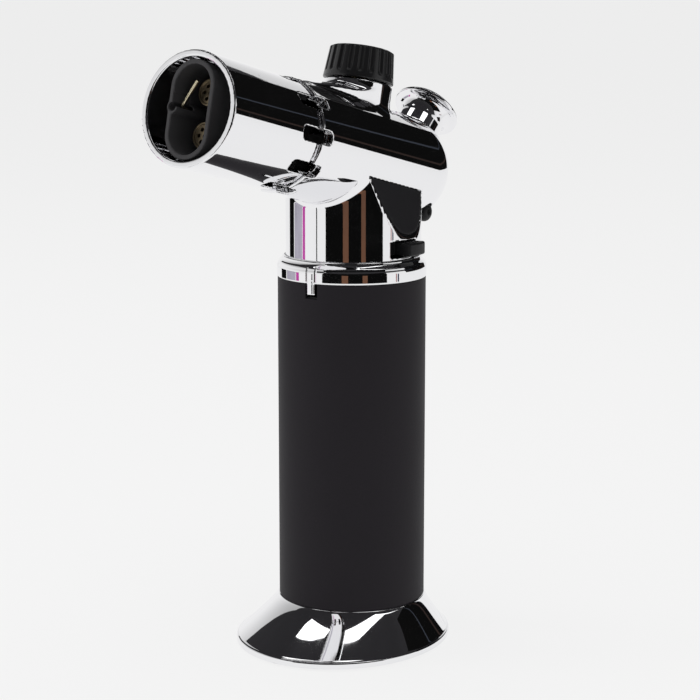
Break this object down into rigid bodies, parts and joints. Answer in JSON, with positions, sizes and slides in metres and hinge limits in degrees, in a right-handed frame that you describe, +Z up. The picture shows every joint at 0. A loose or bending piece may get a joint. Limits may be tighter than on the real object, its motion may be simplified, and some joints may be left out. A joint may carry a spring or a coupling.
{
  "type": "butane torch",
  "caption": "Free-standing hand torch: round fuel handle on an oval foot, tilted twin-flame barrel, top flame dial, rear thumb plunger igniter and side lock slider.",
  "frame": {"origin": "on the handle's axis, at the surface that the foot stands on", "axes": "+Z up along the handle, -Y towards the nozzle, +X to the side with the lock slider"},
  "size_m": [0.0564, 0.1134, 0.1624],
  "materials": {
    "chrome_plate": "mirror-bright chrome plate",
    "soft_touch_black": "matte soft-touch black coating",
    "black_plastic": "moulded black plastic, fine texture",
    "grey_metal": "dark grey heat-proof metal",
    "brass": "turned brass",
    "steel": "machined steel",
    "dark_steel": "heat-darkened steel",
    "rubber": "black rubber",
    "tank_plastic": "black moulded nylon",
    "ceramic": "glazed white ceramic",
    "red_wire": "insulated lead"
  },
  "bodies": {
    "torch_body": {"burner_carrier": "dark_steel", "burner_head_lower": "brass", "burner_head_upper": "brass", "button_guide": "black_plastic", "button_spring": "steel", "collar_ring": "chrome_plate", "electrode_insulator": "ceramic", "electrode_wire": "brass", "fill_valve_body": "brass", "fill_valve_seal": "rubber", "fill_valve_spring": "steel", "flame_guard": "grey_metal", "foot_base": "chrome_plate", "foot_pad": "rubber", "foot_screws": "steel", "frame_screws": "steel", "fuel_tank": "tank_plastic", "gas_hose": "rubber", "gas_jet_lower": "dark_steel", "gas_jet_upper": "dark_steel", "gas_manifold": "dark_steel", "gas_pipe": "dark_steel", "handle_sleeve": "soft_touch_black", "head_shell": "chrome_plate", "ignition_lead": "red_wire", "inner_frame": "black_plastic", "lever_pin": "steel", "mixing_tube_lower": "dark_steel", "mixing_tube_upper": "dark_steel", "nozzle_tube": "chrome_plate", "outlet_valve_body": "brass", "piezo_body": "black_plastic", "regulator_body": "brass", "side_panel_left": "black_plastic", "side_panel_right": "black_plastic", "spindle_seal": "rubber", "tank_cap": "tank_plastic", "wick_tube": "tank_plastic"},
    "ignition_button": {"ignition_button": "chrome_plate", "piezo_plunger": "steel"},
    "valve_lever": {"valve_lever": "steel"},
    "valve_stem": {"outlet_valve_stem": "brass"},
    "flame_dial": {"flame_dial": "black_plastic", "dial_spindle": "brass"},
    "lock_slider": {"lock_slider": "black_plastic"},
    "safety_bolt": {"safety_bolt": "black_plastic"},
    "refill_stem": {"fill_valve_stem": "brass"}
  },
  "joints": [
    {"name": "button_press", "type": "slide", "parent": "torch_body", "child": "ignition_button", "axis": [0, -0.7314, -0.682], "range_m": [0, 0.004], "stiffness_N_per_m": 1200, "springref_m": -0.006, "deforming": ["button_spring"]},
    {"name": "lever_rock", "type": "hinge", "parent": "torch_body", "child": "valve_lever", "pos_m": [0, -0.0015, 0.1045], "axis": [1, 0, 0], "range_deg": [-9.5, 0]},
    {"name": "valve_lift", "type": "slide", "parent": "torch_body", "child": "valve_stem", "axis": [0, 0, 1], "range_m": [0, 0.0011]},
    {"name": "dial_turn", "type": "hinge", "parent": "torch_body", "child": "flame_dial", "pos_m": [0, 0.00281, 0.15198], "axis": [0, 0.2317, 0.9728], "range_deg": [-135, 135]},
    {"name": "lock_slide", "type": "hinge", "parent": "torch_body", "child": "lock_slider", "pos_m": [0, 0, 0.1088], "axis": [0, 0, 1], "range_deg": [-10.5, 0]},
    {"name": "safety_push", "type": "slide", "parent": "torch_body", "child": "safety_bolt", "axis": [-1, 0, 0], "range_m": [0, 0.003]},
    {"name": "refill_press", "type": "slide", "parent": "torch_body", "child": "refill_stem", "axis": [0, 0, 1], "range_m": [0, 0.0012], "stiffness_N_per_m": 400, "springref_m": -0.003, "deforming": ["fill_valve_spring"]}
  ],
  "couplings": [
    {"joint": "lever_rock", "follows": "button_press", "rad_per_m": -39.27},
    {"joint": "valve_lift", "follows": "button_press", "ratio": 0.25}
  ]
}
